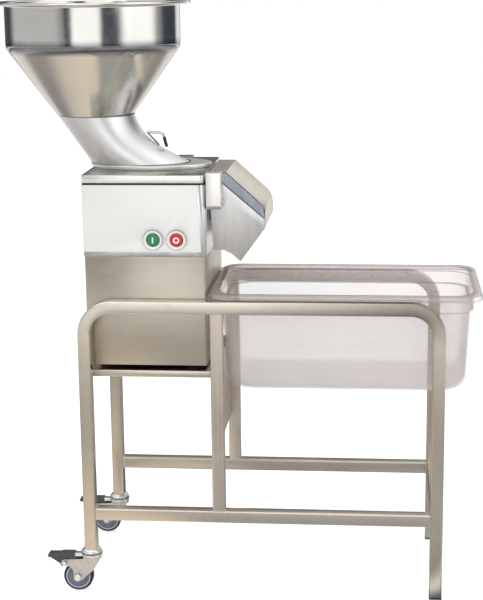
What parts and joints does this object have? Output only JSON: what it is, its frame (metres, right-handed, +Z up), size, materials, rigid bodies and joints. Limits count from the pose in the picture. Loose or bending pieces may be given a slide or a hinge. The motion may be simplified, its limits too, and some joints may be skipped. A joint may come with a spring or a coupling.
{
  "type": "vegetable preparation machine",
  "caption": "Vegetable cutting machine with an automatic feed hopper and discharge hood, on a tubular trolley with braked casters and a clear food tray.",
  "frame": {"origin": "on the floor, under the centre of the whole machine's bounding box", "axes": "+Z up, +X from the machine towards the tray end of the trolley, -Y towards the operator and the control panel"},
  "size_m": [0.964, 0.389, 1.171],
  "materials": {
    "trolley_steel": "satin stainless tube and sheet",
    "body_steel": "brushed stainless sheet",
    "polished_steel": "polished stainless",
    "cast_alloy": "satin cast aluminium",
    "panel_white": "pale satin panel",
    "zinc": "zinc plated",
    "black_plastic": "black moulded plastic",
    "foot_rubber": "black rubber",
    "tyre_rubber": "black rubber tread",
    "wheel_plastic": "blue-grey moulded wheel",
    "white_plastic": "white food-grade plastic",
    "green_button": "green push button",
    "red_button": "red push button",
    "button_ring": "chromed ring",
    "clear_tray": "clear polycarbonate",
    "belt_rubber": "black flat belt"
  },
  "bodies": {
    "trolley": {"front_bent_tube": "trolley_steel", "rear_bent_tube": "trolley_steel", "front_lower_rail": "trolley_steel", "rear_lower_rail": "trolley_steel", "front_middle_post": "trolley_steel", "rear_middle_post": "trolley_steel", "middle_stiffener_panel": "trolley_steel", "right_cross_tube": "trolley_steel", "support_shelf": "trolley_steel", "front_right_foot": "black_plastic", "rear_right_foot": "black_plastic", "rubber_foot_1": "foot_rubber", "rubber_foot_2": "foot_rubber", "rubber_foot_3": "foot_rubber", "rubber_foot_4": "foot_rubber", "motor_base_shell": "body_steel", "base_plate": "body_steel", "power_inlet_gland": "black_plastic", "motor_stator": "cast_alloy", "bearing_carrier": "cast_alloy", "shaft_bearing": "zinc", "drive_belt": "belt_rubber", "bowl_housing": "cast_alloy", "control_panel": "panel_white", "start_bezel": "button_ring", "stop_bezel": "button_ring", "switch_block": "black_plastic", "discharge_hood": "body_steel", "hinge_bracket": "body_steel", "latch_pin": "zinc", "front_caster_stem": "zinc", "rear_caster_stem": "zinc"},
    "motor_rotor_set": {"motor_rotor": "zinc", "motor_pulley": "cast_alloy"},
    "drive_set": {"drive_shaft": "zinc", "driven_pulley": "cast_alloy", "ejector_plate": "white_plastic", "slicing_disc": "polished_steel"},
    "feed_head": {"lid_plate": "cast_alloy", "neck_flange": "polished_steel", "feed_neck": "polished_steel", "feed_hopper": "polished_steel", "head_handle_rod": "polished_steel", "head_handle_grip": "black_plastic", "hinge_leaf": "body_steel", "hinge_pin": "zinc"},
    "latch": {"latch_lever": "cast_alloy"},
    "start_push": {"start_button": "green_button"},
    "stop_push": {"stop_button": "red_button"},
    "tray": {"clear_tray": "clear_tray"},
    "front_caster": {"front_caster_fork": "zinc", "front_caster_axle": "zinc"},
    "front_wheel": {"front_wheel_hub": "wheel_plastic", "front_tyre": "tyre_rubber"},
    "front_brake": {"front_brake_pedal": "black_plastic"},
    "rear_caster": {"rear_caster_fork": "zinc", "rear_caster_axle": "zinc"},
    "rear_wheel": {"rear_wheel_hub": "wheel_plastic", "rear_tyre": "tyre_rubber"},
    "rear_brake": {"rear_brake_pedal": "black_plastic"}
  },
  "joints": [
    {"name": "head_tilt", "type": "hinge", "parent": "trolley", "child": "feed_head", "pos_m": [-0.17225, 0.1575, 0.835], "axis": [-1, 0, 0], "range_deg": [0, 85]},
    {"name": "latch_swing", "type": "hinge", "parent": "trolley", "child": "latch", "pos_m": [-0.035, -0.13, 0.79], "axis": [1, 0, 0], "range_deg": [0, 95]},
    {"name": "drive_spin", "type": "hinge", "parent": "trolley", "child": "drive_set", "pos_m": [-0.1725, 0, 0.5], "axis": [0, 0, 1], "continuous": true},
    {"name": "motor_spin", "type": "hinge", "parent": "trolley", "child": "motor_rotor_set", "pos_m": [-0.23, 0.075, 0.5], "axis": [0, 0, 1], "continuous": true},
    {"name": "start_press", "type": "slide", "parent": "trolley", "child": "start_push", "axis": [0, 1, 0], "range_m": [0, 0.003], "stiffness_N_per_m": 800},
    {"name": "stop_press", "type": "slide", "parent": "trolley", "child": "stop_push", "axis": [0, 1, 0], "range_m": [0, 0.003], "stiffness_N_per_m": 800},
    {"name": "tray_slide", "type": "slide", "parent": "trolley", "child": "tray", "axis": [1, 0, 0], "range_m": [0, 0.25]},
    {"name": "front_caster_swivel", "type": "hinge", "parent": "trolley", "child": "front_caster", "pos_m": [-0.2925, -0.1625, 0.07], "axis": [0, 0, 1], "continuous": true},
    {"name": "front_wheel_spin", "type": "hinge", "parent": "front_caster", "child": "front_wheel", "pos_m": [-0.3205, -0.1625, 0.03], "axis": [0, 1, 0], "continuous": true},
    {"name": "front_brake_press", "type": "hinge", "parent": "front_caster", "child": "front_brake", "pos_m": [-0.3465, -0.1625, 0.061], "axis": [0, -1, 0], "range_deg": [0, 12]},
    {"name": "rear_caster_swivel", "type": "hinge", "parent": "trolley", "child": "rear_caster", "pos_m": [-0.2925, 0.1625, 0.07], "axis": [0, 0, 1], "continuous": true},
    {"name": "rear_wheel_spin", "type": "hinge", "parent": "rear_caster", "child": "rear_wheel", "pos_m": [-0.3205, 0.1625, 0.03], "axis": [0, 1, 0], "continuous": true},
    {"name": "rear_brake_press", "type": "hinge", "parent": "rear_caster", "child": "rear_brake", "pos_m": [-0.3465, 0.1625, 0.061], "axis": [0, -1, 0], "range_deg": [0, 12]}
  ],
  "couplings": [
    {"joint": "motor_spin", "follows": "drive_spin", "ratio": 3}
  ]
}
